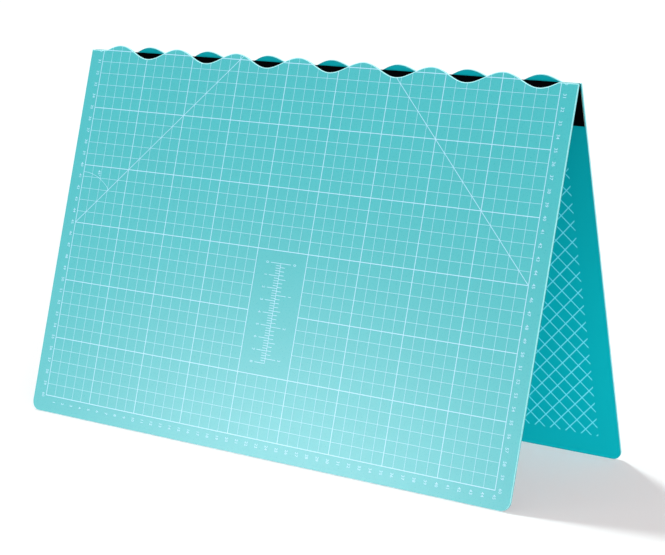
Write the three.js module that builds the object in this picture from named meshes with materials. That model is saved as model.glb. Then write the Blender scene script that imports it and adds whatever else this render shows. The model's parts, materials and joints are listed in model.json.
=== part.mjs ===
// Folding cutting mat, standing as a tent. Two laminated halves meet in a wavy cut and turn
// about a cloth tape that joins them behind it.
// Millimetres, +Z up. The floor is z = 0, the fold runs along X and the front half faces -Y.
import * as THREE from "three";

// Printed grid of one half, and the bare border round it
const CELL = 10;
const COLUMNS = 45;
const ROWS = 30;
const SIDE_MARGIN = 14;
const END_MARGIN = 14;
const CORNER_RADIUS = 8;

// Plies of the sheet, from the reverse to the printed face
const BACK_SKIN = 0.4;
const CORE = 1;
const PRINTED_SKIN = 0.4;
const BOND_LINE = 0.1;

// Wavy cut between the halves: height each way from the fold line, length of one wave,
// least straight run at each end and width of the cut
const WAVE_HEIGHT = 5;
const WAVE_LENGTH = 63.6;
const STRAIGHT_END = 12;
const CUT_WIDTH = 0.3;
const STEPS_PER_WAVE = 16;

// Cloth hinge tape: reach down each half from the fold line, thickness, inset from the sides,
// distance of its reverse from the fold axis, and half the slack left free at the fold
const TAPE_REACH = 33;
const TAPE = 0.3;
const TAPE_INSET = 0.5;
const TAPE_TO_AXIS = 0.15;
const TAPE_SLACK = 0.2;

// Adhesive film: thickness, and how far below the deepest trough the bond starts
const ADHESIVE = 0.15;
const BOND_BELOW_TROUGH = 1;

// Angle between the two halves as the tent stands
const TENT_ANGLE = THREE.MathUtils.degToRad(30.8);

const WIDTH = COLUMNS * CELL + 2 * SIDE_MARGIN;
const HALF_LENGTH = ROWS * CELL + END_MARGIN;
const TAPE_WIDTH = WIDTH - 2 * TAPE_INSET;
const ARC_STEPS = 4;

// Each layer's reverse side, measured outwards from the plane through the fold axis
const ADHESIVE_BASE = TAPE_TO_AXIS + TAPE + BOND_LINE;
const BACK_SKIN_BASE = ADHESIVE_BASE + ADHESIVE + BOND_LINE;
const CORE_BASE = BACK_SKIN_BASE + BACK_SKIN + BOND_LINE;
const PRINTED_SKIN_BASE = CORE_BASE + CORE + BOND_LINE;

// As many whole waves as the straight ends leave room for
const WAVES = Math.floor((WIDTH - 2 * STRAIGHT_END) / WAVE_LENGTH);
const WAVE_END = (WAVES * WAVE_LENGTH) / 2;

// The lowest corner of each half, at the foot of the back skin, stands on the floor
const LEAN = TENT_ANGLE / 2;
const AXIS_HEIGHT = HALF_LENGTH * Math.cos(LEAN) - BACK_SKIN_BASE * Math.sin(LEAN);

const MATERIALS = {
  printed_skin: { color: 0x27b6bb, roughness: 0.55, metalness: 0 },
  core: { color: 0xa2f1f4, roughness: 0.6, metalness: 0 },
  back_skin: { color: 0x0598a5, roughness: 0.5, metalness: 0 },
  tape_adhesive: { color: 0xc4bca6, roughness: 0.4, metalness: 0 },
  tape_flap: { color: 0x060607, roughness: 0.8, metalness: 0 },
};

// Height of the cut above the fold line. It is odd about the middle of the fold, so each
// half's crests fill the other half's troughs.
function cutHeight(x) {
  return -WAVE_HEIGHT * Math.sin((2 * Math.PI * x) / WAVE_LENGTH);
}

// Outline of one half lying flat: x along the fold, y up towards it, the fold line at y = 0.
function halfOutline() {
  const right = WIDTH / 2;
  const foot = -HALF_LENGTH;
  const cutTop = -CUT_WIDTH / 2;
  const outline = new THREE.Shape();
  outline.moveTo(CORNER_RADIUS - right, foot);
  outline.absarc(right - CORNER_RADIUS, foot + CORNER_RADIUS, CORNER_RADIUS, -Math.PI / 2, 0);
  outline.lineTo(right, cutTop);
  const steps = WAVES * STEPS_PER_WAVE;
  for (let step = 0; step <= steps; step += 1) {
    const x = WAVE_END - (step * WAVE_LENGTH) / STEPS_PER_WAVE;
    outline.lineTo(x, cutTop + cutHeight(x));
  }
  outline.lineTo(-right, cutTop);
  outline.absarc(CORNER_RADIUS - right, foot + CORNER_RADIUS, CORNER_RADIUS, Math.PI, 1.5 * Math.PI);
  return outline;
}

// A strip across the half, from one distance below the fold line to another.
function stripOutline(from, to) {
  const right = TAPE_WIDTH / 2;
  const outline = new THREE.Shape();
  outline.moveTo(-right, -to);
  outline.lineTo(right, -to);
  outline.lineTo(right, -from);
  outline.lineTo(-right, -from);
  return outline;
}

function layer(half, kind, outline, base, thickness) {
  const options = { depth: thickness, bevelEnabled: false, curveSegments: ARC_STEPS };
  const geometry = new THREE.ExtrudeGeometry(outline, options);
  const mesh = new THREE.Mesh(geometry, new THREE.MeshStandardMaterial(MATERIALS[kind]));
  mesh.name = `${half}_${kind}`;
  mesh.position.z = base;
  return mesh;
}

// One half of the mat with its share of the tape, lying flat, reverse side down on the fold axis.
function matHalf(half) {
  const sheet = halfOutline();
  const bond = stripOutline(WAVE_HEIGHT + BOND_BELOW_TROUGH, TAPE_REACH);
  const flap = stripOutline(TAPE_SLACK, TAPE_REACH);
  const group = new THREE.Group();
  group.add(layer(half, "printed_skin", sheet, PRINTED_SKIN_BASE, PRINTED_SKIN));
  group.add(layer(half, "core", sheet, CORE_BASE, CORE));
  group.add(layer(half, "back_skin", sheet, BACK_SKIN_BASE, BACK_SKIN));
  group.add(layer(half, "tape_adhesive", bond, ADHESIVE_BASE, ADHESIVE));
  group.add(layer(half, "tape_flap", flap, TAPE_TO_AXIS, TAPE));
  return group;
}

// A half stood up on its foot, leaning on the fold axis.
function standingHalf(half) {
  const group = matHalf(half);
  group.position.z = AXIS_HEIGHT;
  group.rotation.x = Math.PI / 2 - LEAN;
  return group;
}

const mat = new THREE.Group();
mat.add(standingHalf("front"));

// The rear half is the same half turned round.
const rear = new THREE.Group();
rear.add(standingHalf("rear"));
rear.rotation.z = Math.PI;
mat.add(rear);

export default mat;
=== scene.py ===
from bisect import bisect_right
import json
import math

import bmesh
import bpy
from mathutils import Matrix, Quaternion, Vector


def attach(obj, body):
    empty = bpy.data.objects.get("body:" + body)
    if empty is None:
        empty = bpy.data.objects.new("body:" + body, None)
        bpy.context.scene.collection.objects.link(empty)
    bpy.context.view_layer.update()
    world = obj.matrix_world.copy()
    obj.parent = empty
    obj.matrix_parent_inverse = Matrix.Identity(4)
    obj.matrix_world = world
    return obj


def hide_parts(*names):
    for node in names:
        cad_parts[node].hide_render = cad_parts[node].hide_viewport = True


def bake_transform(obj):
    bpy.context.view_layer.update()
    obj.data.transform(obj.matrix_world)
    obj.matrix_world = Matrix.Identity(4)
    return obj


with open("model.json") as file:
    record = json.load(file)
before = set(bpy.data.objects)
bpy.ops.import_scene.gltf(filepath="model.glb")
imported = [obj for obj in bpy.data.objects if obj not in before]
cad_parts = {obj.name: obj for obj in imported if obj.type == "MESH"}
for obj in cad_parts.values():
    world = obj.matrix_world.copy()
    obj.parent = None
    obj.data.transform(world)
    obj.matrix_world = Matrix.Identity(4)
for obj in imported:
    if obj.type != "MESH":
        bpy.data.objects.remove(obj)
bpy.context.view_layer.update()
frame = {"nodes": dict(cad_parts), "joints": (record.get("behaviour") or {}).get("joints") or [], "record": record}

# Camera. It stands to the right of the mat and a little above it, with a long lens, so that the
# front half shows nearly square on and the inside of the rear half shows past its right edge.
MM = 0.001
SENSOR_WIDE = 36.0
IMAGE_WIDE = 665
FOCAL_PIXELS = 1972.9
CAMERA_AZIMUTH = math.radians(36.27)
CAMERA_ELEVATION = math.radians(11.08)
CAMERA_ROLL = math.radians(0.38)
CAMERA_DISTANCE = 1589.6 * MM
CAMERA_AIM = Vector((17.5, 0.0, 133.0)) * MM

lens = bpy.data.cameras.new("camera")
lens.sensor_width = SENSOR_WIDE
lens.lens = SENSOR_WIDE * FOCAL_PIXELS / IMAGE_WIDE
camera = bpy.data.objects.new("camera", lens)
bpy.context.scene.collection.objects.link(camera)
bpy.context.scene.camera = camera
to_camera = Vector((
    math.sin(CAMERA_AZIMUTH) * math.cos(CAMERA_ELEVATION),
    -math.cos(CAMERA_AZIMUTH) * math.cos(CAMERA_ELEVATION),
    math.sin(CAMERA_ELEVATION),
))
camera.location = CAMERA_AIM + to_camera * CAMERA_DISTANCE
camera.rotation_mode = "QUATERNION"
level_view = (-to_camera).to_track_quat("-Z", "Y")
camera.rotation_quaternion = level_view @ Quaternion((0, 0, 1), CAMERA_ROLL)

# Core sheets. Each half is stiffened by a sheet of pale hard plastic, die-cut with its skins in
# one stroke: square at the sides, round at the foot corners and wavy along the fold.
# It shows only as the pale line on the cut edges.
FOLD = Vector(frame["joints"][0]["pos_m"])
WORK_FACE = frame["record"]["mounts"][0]
OUTWARDS = Vector(WORK_FACE["axis"])
LEAN = math.atan2(OUTWARDS.z, -OUTWARDS.y)
DOWN = Vector((0, -math.sin(LEAN), -math.cos(LEAN)))
ALONG = Vector((1, 0, 0))
TURNS = {"front": 0.0, "rear": math.pi}
WAVE_HEIGHT = 5.0 * MM
WAVE_LENGTH = 63.6 * MM
WAVES = 7
CUT_WIDTH = 0.3 * MM
CUT_STEPS = (47, 10)
CORNER_RADIUS = 8.0 * MM
CORNER_STEPS = 10
CORE_RIM = 0.05 * MM
RIM_STEPS = 3
SMOOTH_BELOW = math.radians(32)
NEARLY_FLAT = 0.999
CORE_COLOUR = (0.34, 0.93, 0.97, 1)
CUT_ROUGHNESS = 0.6
STREAKS_PER_METRE = 700
STREAK_DETAIL = 4
STREAK_DARK = 0.92
STREAK_LIGHT = 1.05
STREAK_DEPTH = 0.05 * MM
STREAK_STRENGTH = 0.3
TINY = 0.001 * MM


def node_span(node, direction):
    """How far a node of the front half reaches from the fold axis along a direction."""
    reaches = [(corner.co - FOLD).dot(direction) for corner in frame["nodes"][node].data.vertices]
    return min(reaches), max(reaches)


WIDTH = 2 * node_span("front_core", ALONG)[1]
HALF_LENGTH = node_span("front_core", DOWN)[1]


def take(piece):
    """Makes a piece the only one selected, and the active one."""
    bpy.ops.object.select_all(action="DESELECT")
    piece.select_set(True)
    bpy.context.view_layer.objects.active = piece


def pick(kind, wanted):
    """In edit mode, selects the vertices, edges or faces whose middle passes a test."""
    bpy.ops.mesh.select_mode(type=kind)
    bpy.ops.mesh.select_all(action="DESELECT")
    mesh = bpy.context.edit_object.data
    shape = bmesh.from_edit_mesh(mesh)
    parts = {"VERT": shape.verts, "EDGE": shape.edges, "FACE": shape.faces}[kind]
    for part in parts:
        corners = [part] if kind == "VERT" else part.verts
        middle = sum((corner.co for corner in corners), Vector()) / len(corners)
        part.select_set(wanted(middle))
    shape.select_flush_mode()
    bmesh.update_edit_mesh(mesh)


def finish_with(piece, kind, **settings):
    """Adds a modifier with these settings and applies it."""
    take(piece)
    modifier = piece.modifiers.new(kind.lower(), kind)
    for name, value in settings.items():
        setattr(modifier, name, value)
    bpy.ops.object.modifier_apply(modifier=modifier.name)


def cut_line(x):
    """Height above the fold line of the wavy cut, at a distance along the fold."""
    swing = 0.0
    if abs(x) < WAVES * WAVE_LENGTH / 2:
        swing = -WAVE_HEIGHT * math.sin(2 * math.pi * x / WAVE_LENGTH)
    return swing - CUT_WIDTH / 2


def flat_sheet(name, base, top):
    """A sheet of the half's outline lying flat, its reverse down: x along the fold, y up to it."""
    bpy.ops.mesh.primitive_plane_add(size=1, location=(0, -HALF_LENGTH / 2, base))
    sheet = bpy.context.object
    sheet.name = name
    sheet.data.name = name
    sheet.scale = (WIDTH, HALF_LENGTH, 1)
    bpy.ops.object.transform_apply(location=True, rotation=True, scale=True)
    bpy.ops.object.mode_set(mode="EDIT")
    pick("VERT", lambda p: p.y < -HALF_LENGTH / 2)
    bpy.ops.mesh.bevel(offset=CORNER_RADIUS, segments=CORNER_STEPS, affect="VERTICES")
    for steps in CUT_STEPS:
        pick("EDGE", lambda p: p.y > -TINY)
        bpy.ops.mesh.subdivide(number_cuts=steps - 1)
    bpy.ops.object.mode_set(mode="OBJECT")
    for corner in sheet.data.vertices:
        if corner.co.y > -TINY:
            corner.co.y = cut_line(corner.co.x)
    finish_with(sheet, "SOLIDIFY", thickness=top - base, offset=1)
    return sheet


def soften_rim(sheet, width):
    """Rounds the rims left by the die. The wavy wall is shaded smooth, and the faces flat."""
    sharp = {"limit_method": "ANGLE", "angle_limit": SMOOTH_BELOW}
    finish_with(sheet, "BEVEL", width=width, segments=RIM_STEPS, **sharp)
    bpy.ops.object.shade_smooth_by_angle(angle=SMOOTH_BELOW)
    for polygon in sheet.data.polygons:
        polygon.use_smooth = abs(polygon.normal.z) < NEARLY_FLAT


def stand(piece, half):
    """Stands a flat piece up in its half of the tent, with its place in its mesh."""
    take(piece)
    piece.rotation_euler = (math.pi / 2 - LEAN, 0, TURNS[half])
    piece.location = FOLD
    bpy.ops.object.transform_apply(location=True, rotation=True, scale=True)
    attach(piece, f"{half}_half")


def stand_pair(flat, kind):
    """Stands a flat piece up as the front half's, and a copy of it as the rear half's."""
    take(flat)
    bpy.ops.object.duplicate()
    pieces = {"front": flat, "rear": bpy.context.object}
    for half, piece in pieces.items():
        piece.name = f"{half}_{kind}"
        piece.data.name = piece.name
        stand(piece, half)
    return pieces


def new_material(name):
    """A material with its shader, its list of nodes and its maker of links."""
    material = bpy.data.materials.new(name)
    material.use_nodes = True
    nodes = material.node_tree.nodes
    return material, nodes["Principled BSDF"], nodes, material.node_tree.links.new


def noise(nodes, link, scale, detail):
    """A noise pattern over the piece, with so many waves to the metre."""
    place = nodes.new("ShaderNodeTexCoord")
    texture = nodes.new("ShaderNodeTexNoise")
    texture.inputs["Scale"].default_value = scale
    texture.inputs["Detail"].default_value = detail
    link(place.outputs["Object"], texture.inputs["Vector"])
    return texture.outputs["Fac"]


def tint(nodes, link, share, first, second):
    """Mixes two colours by a pattern."""
    mix = nodes.new("ShaderNodeMix")
    mix.data_type = "RGBA"
    mix.inputs["A"].default_value = first
    mix.inputs["B"].default_value = second
    link(share, mix.inputs["Factor"])
    return mix.outputs["Result"]


def dent(nodes, link, height, depth, strength, shader):
    """Bumps a shader by a pattern of that depth."""
    bump = nodes.new("ShaderNodeBump")
    bump.inputs["Distance"].default_value = depth
    bump.inputs["Strength"].default_value = strength
    link(height, bump.inputs["Height"])
    link(bump.outputs["Normal"], shader.inputs["Normal"])


def shade(colour, factor):
    """A colour made lighter or darker by a factor."""
    return (*(min(1.0, channel * factor) for channel in colour[:3]), 1)


def cut_edge(name, colour):
    """Cut plastic in a colour, faintly streaked. The core's pale colour is its own, the teal skin's darker edge is
    painted shade, and the turquoise skin's paler rim is partly painted highlight.
    """
    material, shader, nodes, link = new_material(name)
    streaks = noise(nodes, link, STREAKS_PER_METRE, STREAK_DETAIL)
    streaked = tint(nodes, link, streaks, shade(colour, STREAK_DARK), shade(colour, STREAK_LIGHT))
    link(streaked, shader.inputs["Base Color"])
    shader.inputs["Roughness"].default_value = CUT_ROUGHNESS
    dent(nodes, link, streaks, STREAK_DEPTH, STREAK_STRENGTH, shader)
    return material


core_plastic = cut_edge("core_plastic", CORE_COLOUR)
back_span = node_span("front_back_skin", OUTWARDS)
printed_span = node_span("front_printed_skin", OUTWARDS)
core = flat_sheet("core_sheet", back_span[1], printed_span[0])
soften_rim(core, CORE_RIM)
core.data.materials.append(core_plastic)
for half, piece in stand_pair(core, "core_sheet").items():
    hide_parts(f"{half}_core")

# Back skins. A soft teal plastic skin is laminated to the reverse of each core. It is the working face's plastic,
# painted a darker teal as painted shade of the tent's inside. Its face is matte with a fine grain, and its cut
# edge is painted darker still, as painted shade.
# Painted shade: the working face's plastic, darkened for the shaded inside of the tent.
SHADED_TEAL = (0.0015, 0.315, 0.365, 1)
TEAL_ROUGHNESS = 0.5
TEAL_GLOSS = 0.05
# Painted shade: the cut edge is darker than the teal face.
TEAL_EDGE_PAINTED_SHADE = (0.003, 0.14, 0.17, 1)
BACK_RIM = 0.1 * MM
CUT_FACE_SLOT = 1
VINYL_CLOUDS = 9
VINYL_CLOUD_DETAIL = 2
VINYL_DARK = 0.97
VINYL_LIGHT = 1.03
VINYL_GRAIN = 1600
VINYL_GRAIN_DETAIL = 3
VINYL_GRAIN_ROUGHNESS = 0.04
VINYL_GRAIN_DEPTH = 0.06 * MM
VINYL_GRAIN_STRENGTH = 0.25
NOISE_LOW = 0.3
NOISE_HIGH = 0.7


def spread(nodes, link, value, low, high):
    """Maps the middle of a noise pattern to a range."""
    ramp = nodes.new("ShaderNodeMapRange")
    ramp.inputs["From Min"].default_value = NOISE_LOW
    ramp.inputs["From Max"].default_value = NOISE_HIGH
    ramp.inputs["To Min"].default_value = low
    ramp.inputs["To Max"].default_value = high
    link(value, ramp.inputs["Value"])
    return ramp.outputs["Result"]


def vinyl(name, colour, roughness, gloss):
    """Soft matte plastic with a fine grain and a barely uneven colour."""
    material, shader, nodes, link = new_material(name)
    shader.inputs["Specular IOR Level"].default_value = gloss
    clouds = noise(nodes, link, VINYL_CLOUDS, VINYL_CLOUD_DETAIL)
    clouded = tint(nodes, link, clouds, shade(colour, VINYL_DARK), shade(colour, VINYL_LIGHT))
    link(clouded, shader.inputs["Base Color"])
    grain = noise(nodes, link, VINYL_GRAIN, VINYL_GRAIN_DETAIL)
    smoothest = roughness - VINYL_GRAIN_ROUGHNESS
    roughest = roughness + VINYL_GRAIN_ROUGHNESS
    link(spread(nodes, link, grain, smoothest, roughest), shader.inputs["Roughness"])
    dent(nodes, link, grain, VINYL_GRAIN_DEPTH, VINYL_GRAIN_STRENGTH, shader)
    return material


def paint_skin(skin, face, edge):
    """Gives a skin lying flat its face material, and its cut wall and rims the other."""
    skin.data.materials.append(face)
    skin.data.materials.append(edge)
    for polygon in skin.data.polygons:
        if abs(polygon.normal.z) < NEARLY_FLAT:
            polygon.material_index = CUT_FACE_SLOT


back_skin = flat_sheet("back_skin_sheet", *back_span)
soften_rim(back_skin, BACK_RIM)
# The reverse material carries the painted shade of the tent's inside in its colour.
shaded_teal_vinyl = vinyl("shaded_teal_vinyl", SHADED_TEAL, TEAL_ROUGHNESS, TEAL_GLOSS)
paint_skin(back_skin, shaded_teal_vinyl, cut_edge("teal_cut_painted_shade", TEAL_EDGE_PAINTED_SHADE))
for half, piece in stand_pair(back_skin, "back_skin_sheet").items():
    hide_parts(f"{half}_back_skin")

# Hatching on the reverse. Pale ink lines cross at right angles on the slant, a centimetre apart,
# and stop short of the edges and of the tape. The ink is screen-printed and stands barely proud.
INK = 0.04 * MM
HATCH_PITCH = 10.0 * MM
HATCH_LINE = 0.85 * MM
HATCH_MARGIN = 18.4 * MM
HATCH_BELOW_TAPE = 18.4 * MM
HATCH_CROSSING = Vector((-216.7, -284.0, 0)) * MM
HATCH_INK_COLOUR = (0.10, 0.565, 0.68, 1)
HATCH_SLANT = math.radians(45)
INK_PATCHES = 500
INK_PATCH_DETAIL = 2
INK_DARK = 0.94
INK_LIGHT = 1.04
INK_GRAIN_DEPTH = 0.03 * MM
INK_GRAIN_STRENGTH = 0.2


def ink(name, colour, roughness, gloss):
    """Screen ink: flat, a little uneven in cover, with the grain of the skin showing through."""
    material, shader, nodes, link = new_material(name)
    cover = noise(nodes, link, INK_PATCHES, INK_PATCH_DETAIL)
    covered = tint(nodes, link, cover, shade(colour, INK_DARK), shade(colour, INK_LIGHT))
    link(covered, shader.inputs["Base Color"])
    shader.inputs["Roughness"].default_value = roughness
    shader.inputs["Specular IOR Level"].default_value = gloss
    grain = noise(nodes, link, VINYL_GRAIN, VINYL_GRAIN_DETAIL)
    dent(nodes, link, grain, INK_GRAIN_DEPTH, INK_GRAIN_STRENGTH, shader)
    return material


def line_edges(lines):
    """The two edges of each printed line, given as middle and width, in order."""
    return [middle + side * width / 2 for middle, width in lines for side in (-1, 1)]


def ink_cells(xs, ys, printed):
    """Flat ink: a grid with its columns and rows at these places, less the cells left unprinted."""
    bpy.ops.mesh.primitive_grid_add(x_subdivisions=len(xs) - 1, y_subdivisions=len(ys) - 1, size=1)
    cells = bpy.context.object
    for index, corner in enumerate(cells.data.vertices):
        corner.co = (xs[index % len(xs)], ys[index // len(xs)], 0)
    bpy.ops.object.mode_set(mode="EDIT")
    pick("FACE", lambda p: not printed(bisect_right(xs, p.x) - 1, bisect_right(ys, p.y) - 1, p))
    bpy.ops.mesh.delete(type="FACE")
    bpy.ops.object.mode_set(mode="OBJECT")
    return cells


def on_line(column, row, middle):
    """In a grid of lines and gaps in turn, whether a cell is on a line."""
    return column % 2 == 0 or row % 2 == 0


def place_flat(piece, x, y, z, turn):
    """Puts a flat piece at a place, turned, with its place in its mesh."""
    take(piece)
    piece.location = (x, y, z)
    piece.rotation_euler.z = turn
    bpy.ops.object.transform_apply(location=True, rotation=True, scale=True)


def trim_flat(piece, sides):
    """Cuts a flat piece along lines, each a point and the direction of what falls away."""
    take(piece)
    bpy.ops.object.mode_set(mode="EDIT")
    for point, away in sides:
        bpy.ops.mesh.select_all(action="SELECT")
        bpy.ops.mesh.bisect(plane_co=point, plane_no=away, clear_outer=True)
    bpy.ops.object.mode_set(mode="OBJECT")


tape_reach = node_span("front_tape_flap", DOWN)[1]
hatch_right = Vector((WIDTH / 2 - HATCH_MARGIN, 0, 0))
hatch_foot = Vector((0, HATCH_MARGIN - HALF_LENGTH, 0))
hatch_head = Vector((0, -tape_reach - HATCH_BELOW_TAPE, 0))
hatch_sides = (
    (hatch_right, (1, 0, 0)),
    (-hatch_right, (-1, 0, 0)),
    (hatch_foot, (0, -1, 0)),
    (hatch_head, (0, 1, 0)),
)
hatch_count = math.ceil((WIDTH + HALF_LENGTH) / HATCH_PITCH)
hatch_places = [index * HATCH_PITCH for index in range(-hatch_count, hatch_count + 1)]
hatch_edges = line_edges([(place, HATCH_LINE) for place in hatch_places])
hatch = ink_cells(hatch_edges, hatch_edges, on_line)
place_flat(hatch, HATCH_CROSSING.x, HATCH_CROSSING.y, 0, HATCH_SLANT)
trim_flat(hatch, hatch_sides)
place_flat(hatch, 0, 0, back_span[0], 0)
finish_with(hatch, "SOLIDIFY", thickness=INK, offset=-1)
hatch.data.materials.append(ink("hatch_ink", HATCH_INK_COLOUR, TEAL_ROUGHNESS, TEAL_GLOSS))
stand_pair(hatch, "hatch_print")

# Printed skins. The working face of each half is a soft turquoise plastic skin that closes up
# again after a cut. Its face has a fine grain and a slight gloss. Its cut rims are eased and
# painted paler, widest along the wave, partly as whitened cut and partly as painted highlight.
TURQUOISE = (0.033, 0.475, 0.514, 1)
TURQUOISE_ROUGHNESS = 0.3
TURQUOISE_GLOSS = 0.7
# Pale rim colour: partly the whitened cut, partly a painted highlight.
TURQUOISE_EDGE_AND_HIGHLIGHT = (0.45, 0.92, 0.96, 1)
PRINTED_RIM = 0.22 * MM
PRINTED_RIM_DROP = 0.12 * MM
WAVE_RIM = 0.7 * MM

rim_base = printed_span[1] - PRINTED_RIM_DROP
printed_skin = flat_sheet("printed_skin_sheet", printed_span[0], rim_base)
bpy.ops.object.mode_set(mode="EDIT")
pick("FACE", lambda p: p.z > rim_base - TINY)
bpy.ops.mesh.inset(thickness=PRINTED_RIM, depth=PRINTED_RIM_DROP)
# Along the wave the pale rim is widened, and the painted highlight with it.
pick("VERT", lambda p: p.z > printed_span[1] - TINY and p.y > -2 * WAVE_HEIGHT)
bpy.ops.transform.translate(value=(0, PRINTED_RIM - WAVE_RIM, 0))
bpy.ops.object.mode_set(mode="OBJECT")
soften_rim(printed_skin, CORE_RIM)
turquoise_vinyl = vinyl("turquoise_vinyl", TURQUOISE, TURQUOISE_ROUGHNESS, TURQUOISE_GLOSS)
paint_skin(printed_skin, turquoise_vinyl, cut_edge("turquoise_cut_and_highlight", TURQUOISE_EDGE_AND_HIGHLIGHT))
for half, piece in stand_pair(printed_skin, "printed_skin_sheet").items():
    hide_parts(f"{half}_printed_skin")

# Centimetre grid. Thin lines every centimetre and heavier ones every five are screen-printed on
# both working faces and run out through the wavy cut. The front half keeps a plain panel.
CELL = 10.0 * MM
COLUMNS = 45
ROWS = 30
HEAVY_EVERY = 5
THIN_LINE = 0.3 * MM
HEAVY_LINE = 0.66 * MM
GRID_LEFT = -COLUMNS * CELL / 2
GRID_FOOT = -ROWS * CELL
PANEL_LEFT = -25.0 * MM
PANEL_RIGHT = 25.0 * MM
PANEL_HEAD = -150.0 * MM
PANEL_FOOT = -250.0 * MM
GRID_INK_COLOUR = (0.42, 0.755, 0.915, 1)
TRIM_DEPTH = 1.0 * MM
PAST_FOLD = 6.0 * MM


def grid_edges(start, count):
    """Edges of the lines of a centimetre scale."""
    widths = [THIN_LINE if index % HEAVY_EVERY else HEAVY_LINE for index in range(count + 1)]
    return line_edges([(start + index * CELL, width) for index, width in enumerate(widths)])


def on_line_outside_panel(column, row, middle):
    """Whether a cell is on a line of the front half's grid, which leaves its panel plain."""
    border = HEAVY_LINE / 2
    in_columns = PANEL_LEFT + border < middle.x < PANEL_RIGHT - border
    in_rows = PANEL_FOOT + border < middle.y < PANEL_HEAD - border
    return on_line(column, row, middle) and not (in_columns and in_rows)


def trim_at_cut(piece):
    """Trims ink just short of the wavy cut, which passed through the print."""
    outline = flat_sheet("outline", printed_span[1] - TRIM_DEPTH, printed_span[1] + TRIM_DEPTH)
    outline.location.y = -WAVE_RIM
    finish_with(piece, "BOOLEAN", operation="INTERSECT", solver="EXACT", object=outline)
    bpy.data.objects.remove(outline)
    piece.data.materials.clear()


def print_on_face(piece, half, kind, depth, trimmed=False):
    """Gives flat ink its colour and depth on a half's working face, and stands it up."""
    piece.name = f"{half}_{kind}"
    piece.data.name = piece.name
    place_flat(piece, 0, 0, printed_span[1], 0)
    finish_with(piece, "SOLIDIFY", thickness=depth, offset=1)
    if trimmed:
        trim_at_cut(piece)
    piece.data.materials.append(grid_ink)
    stand(piece, half)


grid_ink = ink("grid_ink", GRID_INK_COLOUR, TURQUOISE_ROUGHNESS, TURQUOISE_GLOSS)
across = grid_edges(GRID_LEFT, COLUMNS)
along = grid_edges(GRID_FOOT, ROWS) + [PAST_FOLD]
front_grid = ink_cells(across, along, on_line_outside_panel)
rear_grid = ink_cells(across, along, on_line)
print_on_face(front_grid, "front", "grid_print", INK, trimmed=True)
print_on_face(rear_grid, "rear", "grid_print", INK, trimmed=True)

# Slanting guide lines. Two lines at 45 degrees run through the fold: laid open, each goes from a
# far corner of the rear half to the side of the front half. They are printed over the grid.
SLANT_LINE = 0.5 * MM
SLANT_AT_FOLD = 75.0 * MM
FRONT_SLANT_DEPTH = 150.0 * MM
INK_OVER_GRID = INK * 1.5
INK_OVER_SLANT = INK * 2.0


def slant(side, half, from_x, to_x, depth, ink_depth):
    """One slanting line, from past the fold to a depth below it."""
    from_x -= (to_x - from_x) * PAST_FOLD / depth
    drop = depth + PAST_FOLD
    bpy.ops.mesh.primitive_plane_add(size=1)
    line = bpy.context.object
    line.scale = (math.hypot(to_x - from_x, drop), SLANT_LINE, 1)
    place_flat(line, (from_x + to_x) / 2, PAST_FOLD - drop / 2, 0, math.atan2(-drop, to_x - from_x))
    print_on_face(line, half, f"slant_{side}_print", ink_depth, trimmed=True)


slant("left", "front", -SLANT_AT_FOLD, GRID_LEFT, FRONT_SLANT_DEPTH, INK_OVER_GRID)
slant("right", "front", SLANT_AT_FOLD, -GRID_LEFT, FRONT_SLANT_DEPTH, INK_OVER_GRID)
slant("left", "rear", SLANT_AT_FOLD, GRID_LEFT, -GRID_FOOT, INK_OVER_GRID)
slant("right", "rear", -SLANT_AT_FOLD, -GRID_LEFT, -GRID_FOOT, INK_OVER_SLANT)

# Angle mark. A thin arc joins the left border of the front half's grid to the slanting line there
# and marks their angle. It is printed over both in the same pale ink.
ARC_RADIUS = 44.0 * MM
ARC_SWEEP = math.radians(45)
ARC_STEPS = 24
ARC_INK = INK * 2.5

bpy.ops.mesh.primitive_plane_add(size=THIN_LINE)
arc = bpy.context.object
place_flat(arc, GRID_LEFT, ARC_RADIUS - FRONT_SLANT_DEPTH, 0, 0)
bpy.ops.object.mode_set(mode="EDIT")
pick("VERT", lambda p: p.x > GRID_LEFT)
bpy.ops.mesh.delete(type="VERT")
bpy.ops.mesh.select_all(action="SELECT")
arc_middle = (GRID_LEFT, -FRONT_SLANT_DEPTH, 0)
bpy.ops.mesh.spin(steps=ARC_STEPS, angle=ARC_SWEEP, center=arc_middle, axis=(0, 0, 1))
bpy.ops.mesh.select_all(action="SELECT")
bpy.ops.mesh.normals_make_consistent(inside=False)
bpy.ops.object.mode_set(mode="OBJECT")
print_on_face(arc, "front", "angle_arc_print", ARC_INK)

# Scale numbers. Plain figures count the centimetres along the sides and the far edges of the mat
# laid open. All are turned to be read from its left side, and the cut divides those at the fold.
FIGURE_SIZE = 3.9 * MM
FIGURE_WEIGHT = 0.02 * MM
FIGURE_STEPS = 2
LEFT_FIGURES = -228.6 * MM
RIGHT_FIGURES = 229.2 * MM
EDGE_FIGURES = -305.0 * MM
ANGLE_FIGURE = Vector((-207.5, -106.0, 0)) * MM
READ_DOWN = -math.pi / 2
READ_UP = math.pi / 2


def figure(body, x, y, turn):
    """A number lying flat on its middle, turned about it."""
    bpy.ops.object.text_add(location=(x, y, 0), rotation=(0, 0, turn))
    number = bpy.context.object
    number.data.body = body
    number.data.size = FIGURE_SIZE
    number.data.offset = FIGURE_WEIGHT
    number.data.align_x = "CENTER"
    number.data.align_y = "CENTER"
    number.data.resolution_u = FIGURE_STEPS
    bpy.ops.object.convert(target="MESH")
    bpy.ops.object.shade_flat()
    return number


def fold_figure(x, turn):
    """One half's part of a number at the fold, trimmed just short of the cut."""
    number = figure(str(ROWS), 0, 0, 0)
    place_flat(number, x, 0, 0, turn)
    cut = (0, -CUT_WIDTH / 2 - WAVE_RIM, 0)
    trim_flat(number, [(cut, (0, 1, 0))])
    return number


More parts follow.
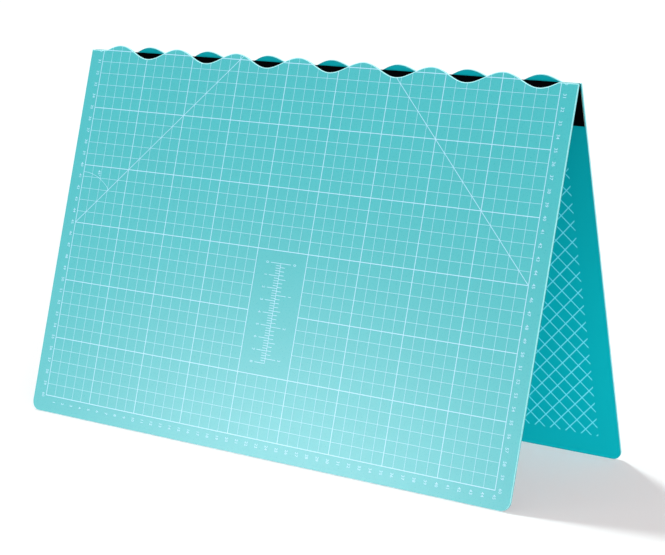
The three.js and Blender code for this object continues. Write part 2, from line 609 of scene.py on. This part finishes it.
def joined(pieces):
    """Makes one flat piece of several."""
    bpy.ops.object.select_all(action="DESELECT")
    for piece in pieces:
        piece.select_set(True)
    bpy.context.view_layer.objects.active = pieces[0]
    bpy.ops.object.join()
    whole = bpy.context.object
    bpy.ops.object.transform_apply(location=True, rotation=True, scale=True)
    return whole


front_figures = [figure("45°", ANGLE_FIGURE.x, ANGLE_FIGURE.y, READ_DOWN)]
rear_figures = []
for column in (LEFT_FIGURES, RIGHT_FIGURES):
    front_figures.append(fold_figure(column, READ_DOWN))
    rear_figures.append(fold_figure(-column, READ_UP))
    for row in range(1, ROWS + 1):
        front_figures.append(figure(str(ROWS + row), column, -row * CELL, READ_DOWN))
        rear_figures.append(figure(str(ROWS - row), -column, -row * CELL, READ_UP))
for column in range(1, COLUMNS + 1):
    x = GRID_LEFT + column * CELL
    front_figures.append(figure(str(column), x, EDGE_FIGURES, READ_DOWN))
    rear_figures.append(figure(str(column), -x, EDGE_FIGURES, READ_UP))
print_on_face(joined(front_figures), "front", "figure_print", INK)
print_on_face(joined(rear_figures), "rear", "figure_print", INK)

# Rule in the panel. The plain panel of the front half carries a small printed rule: centimetres on
# one side of a line and inches on the other, with their figures.
RULE_LINE = 0.45 * MM
RULE_HEAD = -160.0 * MM
CENTIMETRES = 8
TICKS_PER_CENTIMETRE = 5
INCH = 25.4 * MM
INCHES = 3
TICKS_PER_INCH = 8
SHORT_TICK = 4.5 * MM
MIDDLE_TICK = 7.0 * MM
LONG_TICK = 10.0 * MM
FIGURES_FROM_RULE = 13.5 * MM


def ticks(unit, count, per_unit, side):
    """The ticks of one scale, on one side of the rule's line: long, middle or short."""
    places = reversed(range(count * per_unit + 1))
    middles = [RULE_HEAD - place * unit / per_unit for place in places]
    rows = line_edges([(middle, RULE_LINE) for middle in middles])
    reaches = [RULE_LINE / 2, SHORT_TICK, MIDDLE_TICK, LONG_TICK]

    def printed(column, row, middle):
        place = row // 2 % per_unit
        reach = SHORT_TICK
        if place == 0:
            reach = LONG_TICK
        elif 2 * place == per_unit:
            reach = MIDDLE_TICK
        return row % 2 == 0 and abs(middle.x) < reach

    return ink_cells(sorted(side * reach for reach in reaches), rows, printed)


rule_foot = RULE_HEAD - CENTIMETRES * CELL
rule_line = ink_cells([-RULE_LINE / 2, RULE_LINE / 2], [rule_foot, RULE_HEAD], on_line)
rule_parts = [
    rule_line,
    ticks(CELL, CENTIMETRES, TICKS_PER_CENTIMETRE, -1),
    ticks(INCH, INCHES, TICKS_PER_INCH, 1),
]
for number in range(CENTIMETRES + 1):
    rule_parts.append(figure(str(number), -FIGURES_FROM_RULE, RULE_HEAD - number * CELL, READ_DOWN))
for number in range(INCHES + 1):
    rule_parts.append(figure(str(number), FIGURES_FROM_RULE, RULE_HEAD - number * INCH, READ_DOWN))
print_on_face(joined(rule_parts), "front", "rule_print", INK)

# Hinge tape. One black cloth tape runs along the reverse of the fold and bends there. It is
# bonded to both halves by a thin film, but not where the crests of the wave lie loose on it.
TAPE_COLOUR = (0.0012, 0.0012, 0.0015, 1)
TAPE_LIGHT = 2.0
TAPE_ROUGHNESS = 0.9
TAPE_GLOSS = 0.0
TAPE_THREAD = 0.6 * MM
TAPE_THREAD_DEPTH = 0.1 * MM
TAPE_THREAD_STRENGTH = 0.5
TAPE_BEND_STEPS = 12
TAPE_FLAP_STEPS = 8


def tape_line(reach, height):
    """The tape's section at a height off the fold axis: up one half, round it, down the other."""
    rear_outwards = Vector((0, -OUTWARDS.y, OUTWARDS.z))
    rear_down = Vector((0, -DOWN.y, DOWN.z))
    points = []
    for step in range(TAPE_FLAP_STEPS):
        points.append(OUTWARDS * height + DOWN * reach * (1 - step / TAPE_FLAP_STEPS))
    sweep = math.pi - 2 * LEAN
    for step in range(TAPE_BEND_STEPS + 1):
        turn = sweep * (step / TAPE_BEND_STEPS - 0.5)
        points.append(Vector((0, math.sin(turn), math.cos(turn))) * height)
    for step in range(TAPE_FLAP_STEPS):
        points.append(rear_outwards * height + rear_down * reach * (step + 1) / TAPE_FLAP_STEPS)
    return points


def cloth_tape(name):
    """Black woven cloth: threads over and under, quite dull."""
    material, shader, nodes, link = new_material(name)
    uv = nodes.new("ShaderNodeUVMap").outputs["UV"]
    split = nodes.new("ShaderNodeSeparateXYZ")
    link(uv, split.inputs["Vector"])
    waves = []
    for axis in ("X", "Y"):
        phase = nodes.new("ShaderNodeMath")
        phase.operation = "MULTIPLY"
        phase.inputs[1].default_value = math.pi / TAPE_THREAD
        link(split.outputs[axis], phase.inputs[0])
        wave = nodes.new("ShaderNodeMath")
        wave.operation = "SINE"
        link(phase.outputs[0], wave.inputs[0])
        waves.append(wave.outputs[0])
    weave = nodes.new("ShaderNodeMath")
    weave.operation = "MULTIPLY"
    link(waves[0], weave.inputs[0])
    link(waves[1], weave.inputs[1])
    woven = tint(nodes, link, weave.outputs[0], TAPE_COLOUR, shade(TAPE_COLOUR, TAPE_LIGHT))
    link(woven, shader.inputs["Base Color"])
    shader.inputs["Roughness"].default_value = TAPE_ROUGHNESS
    shader.inputs["Specular IOR Level"].default_value = TAPE_GLOSS
    dent(nodes, link, weave.outputs[0], TAPE_THREAD_DEPTH, TAPE_THREAD_STRENGTH, shader)
    return material


tape_low, tape_high = node_span("front_tape_flap", OUTWARDS)
tape_wide = 2 * node_span("front_tape_flap", ALONG)[1]
inner = tape_line(tape_reach, tape_low)
outer = tape_line(tape_reach, tape_high)
bpy.ops.mesh.primitive_grid_add(x_subdivisions=1, y_subdivisions=len(inner) - 1, size=1)
tape = bpy.context.object
tape.name = "hinge_tape"
tape.data.name = "hinge_tape"
middle_line = [(first + second) / 2 for first, second in zip(inner, outer)]
for index, corner in enumerate(tape.data.vertices):
    side = 1 if index % 2 else -1
    corner.co = FOLD + middle_line[index // 2] + ALONG * (side * tape_wide / 2)
lengths = [0.0]
for first, second in zip(middle_line, middle_line[1:]):
    lengths.append(lengths[-1] + (second - first).length)
threads = tape.data.uv_layers.active or tape.data.uv_layers.new(name="threads")
for loop in tape.data.loops:
    side = loop.vertex_index % 2
    threads.data[loop.index].uv = (side * tape_wide, lengths[loop.vertex_index // 2])
finish_with(tape, "SOLIDIFY", thickness=tape_high - tape_low, offset=0)
bpy.ops.object.shade_smooth_by_angle(angle=SMOOTH_BELOW)
tape.data.materials.append(cloth_tape("cloth_tape"))
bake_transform(tape)
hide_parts("front_tape_flap", "rear_tape_flap")

# Adhesive film. A thin clear film bonds the tape to each half. It stays the plain strip that it
# is, and shows only along its edge.
FILM_COLOUR = (0.55, 0.50, 0.38, 1)
FILM_DARK = 0.9
FILM_MOTTLES = 300
FILM_MOTTLE_DETAIL = 2
FILM_ROUGHNESS = 0.3

film, film_shader, film_nodes, film_link = new_material("adhesive_film")
mottles = noise(film_nodes, film_link, FILM_MOTTLES, FILM_MOTTLE_DETAIL)
mottled = tint(film_nodes, film_link, mottles, shade(FILM_COLOUR, FILM_DARK), FILM_COLOUR)
film_link(mottled, film_shader.inputs["Base Color"])
film_shader.inputs["Roughness"].default_value = FILM_ROUGHNESS
for half in TURNS:
    node = frame["nodes"][f"{half}_tape_adhesive"]
    node.data.materials.clear()
    node.data.materials.append(film)

# Studio. White paper under a white surround. A key light high on the left throws the shadow, broad
# lights in front and behind light one working face each, a soft box low on the left pales the front
# one's foot, and a small low card at each end lights only the reverse sides.
FLOOR_SIZE = 60.0
PAPER_UNSEEN = (0.5, 0.5, 0.5, 1)
PAPER_SEEN = (0.67, 0.745, 0.74, 1)
PAPER_GLOW = (1, 0.84, 0.85, 1)
PAPER_LIFT = 0.42
PAPER_ROUGHNESS = 0.9
PAPER_GLOSS = 0.0
SURROUND_COLOUR = (1, 1, 1, 1)
SURROUND_UNSEEN = 0.30
SURROUND_SEEN = 1.0
KEY_FROM = Vector((-182.5, 52.4, 302.5)).normalized()
KEY_ANGLE = math.radians(8)
KEY_STRENGTH = 1.85
FILL_FROM = Vector((0.72, -0.69, 0.12)).normalized()
FILL_ANGLE = math.radians(30)
FILL_STRENGTH = 2.75
BACK_FROM = Vector((-0.45, 0.85, 0.25)).normalized()
BACK_STRENGTH = 1.2
FACE_PIECES = (
    "printed_skin_sheet",
    "grid_print",
    "slant_left_print",
    "slant_right_print",
    "figure_print",
)
SOFT_BOX_FROM = Vector((-0.556, -0.823, 0.118))
SOFT_BOX_DISTANCE = 4.0
SOFT_BOX_SIZE = (0.9, 0.6)
SOFT_BOX_POWER = 27.0
CARD_PLACE = Vector((0.75, -0.35, 0.03))
CARD_AIM = Vector((0.15, 0.085, 0.0))
CARD_ENDS = {"right": Vector((1, 1, 1)), "left": Vector((-1, -1, 1))}
CARD_SIZE = (0.12, 0.08)
CARD_SPREAD = math.radians(60)
CARD_POWER = 0.63
REVERSE_PIECES = ("back_skin_sheet", "hatch_print")

scene = bpy.context.scene
scene.view_settings.view_transform = "Standard"
bpy.ops.mesh.primitive_plane_add(size=FLOOR_SIZE)
floor = bpy.context.object
floor.name = "floor"


def seen_rays(nodes, link):
    """1 for rays seen straight, mirrored or through something clear, and 0 for the rest."""
    rays = nodes.new("ShaderNodeLightPath")
    seen = rays.outputs["Is Camera Ray"]
    for kind in ("Is Glossy Ray", "Is Transmission Ray"):
        either = nodes.new("ShaderNodeMath")
        either.operation = "MAXIMUM"
        link(seen, either.inputs[0])
        link(rays.outputs[kind], either.inputs[1])
        seen = either.outputs[0]
    return seen


paper, paper_shader, paper_nodes, paper_link = new_material("white_paper")
paper_shader.inputs["Roughness"].default_value = PAPER_ROUGHNESS
paper_shader.inputs["Specular IOR Level"].default_value = PAPER_GLOSS
paper_shader.inputs["Emission Color"].default_value = PAPER_GLOW
seen = seen_rays(paper_nodes, paper_link)
paper_colour = tint(paper_nodes, paper_link, seen, PAPER_UNSEEN, PAPER_SEEN)
paper_link(paper_colour, paper_shader.inputs["Base Color"])
lift = paper_nodes.new("ShaderNodeMapRange")
lift.inputs["To Max"].default_value = PAPER_LIFT
paper_link(seen, lift.inputs["Value"])
paper_link(lift.outputs["Result"], paper_shader.inputs["Emission Strength"])
floor.data.materials.append(paper)

world = bpy.data.worlds.new("surround")
scene.world = world
world.use_nodes = True
world_nodes = world.node_tree.nodes
world_link = world.node_tree.links.new
background = world_nodes["Background"]
background.inputs["Color"].default_value = SURROUND_COLOUR
brightness = world_nodes.new("ShaderNodeMapRange")
brightness.inputs["To Min"].default_value = SURROUND_UNSEEN
brightness.inputs["To Max"].default_value = SURROUND_SEEN
world_link(seen_rays(world_nodes, world_link), brightness.inputs["Value"])
world_link(brightness.outputs["Result"], background.inputs["Strength"])


def hang_light(lamp, place, comes_from):
    """Hangs a lamp at a place so that its light comes from a direction."""
    holder = bpy.data.objects.new(lamp.name, lamp)
    holder.location = place
    holder.rotation_mode = "QUATERNION"
    holder.rotation_quaternion = (-comes_from).to_track_quat("-Z", "Y")
    holder.visible_camera = False
    scene.collection.objects.link(holder)
    return holder


def broad_light(name, comes_from, angle, strength):
    """Even soft light from one direction."""
    lamp = bpy.data.lights.new(name, "SUN")
    lamp.angle = angle
    lamp.energy = strength
    return hang_light(lamp, CAMERA_AIM + comes_from, comes_from)


def light_only(holder, kinds, halves):
    """Lets a light reach only these kinds of pieces on these halves."""
    reached = bpy.data.collections.new(f"{holder.name}_reaches")
    for half in halves:
        for kind in kinds:
            reached.objects.link(bpy.data.objects[f"{half}_{kind}"])
    holder.light_linking.receiver_collection = reached


broad_light("key_light", KEY_FROM, KEY_ANGLE, KEY_STRENGTH)
broad_light("camera_side_light", FILL_FROM, FILL_ANGLE, FILL_STRENGTH)
back_light = broad_light("back_light", BACK_FROM, FILL_ANGLE, BACK_STRENGTH)
light_only(back_light, FACE_PIECES, ["rear"])


def panel_light(name, size, power, place, comes_from):
    """Soft light from a rectangle."""
    lamp = bpy.data.lights.new(name, "AREA")
    lamp.shape = "RECTANGLE"
    lamp.size, lamp.size_y = size
    lamp.energy = power
    return hang_light(lamp, place, comes_from)


soft_box_place = SOFT_BOX_FROM * SOFT_BOX_DISTANCE
panel_light("soft_box", SOFT_BOX_SIZE, SOFT_BOX_POWER, soft_box_place, SOFT_BOX_FROM)
for end, signs in CARD_ENDS.items():
    place = CARD_PLACE * signs
    card_from = place - CARD_AIM * signs
    card = panel_light(f"{end}_card_light", CARD_SIZE, CARD_POWER, place, card_from)
    card.data.spread = CARD_SPREAD
    light_only(card, REVERSE_PIECES, TURNS)
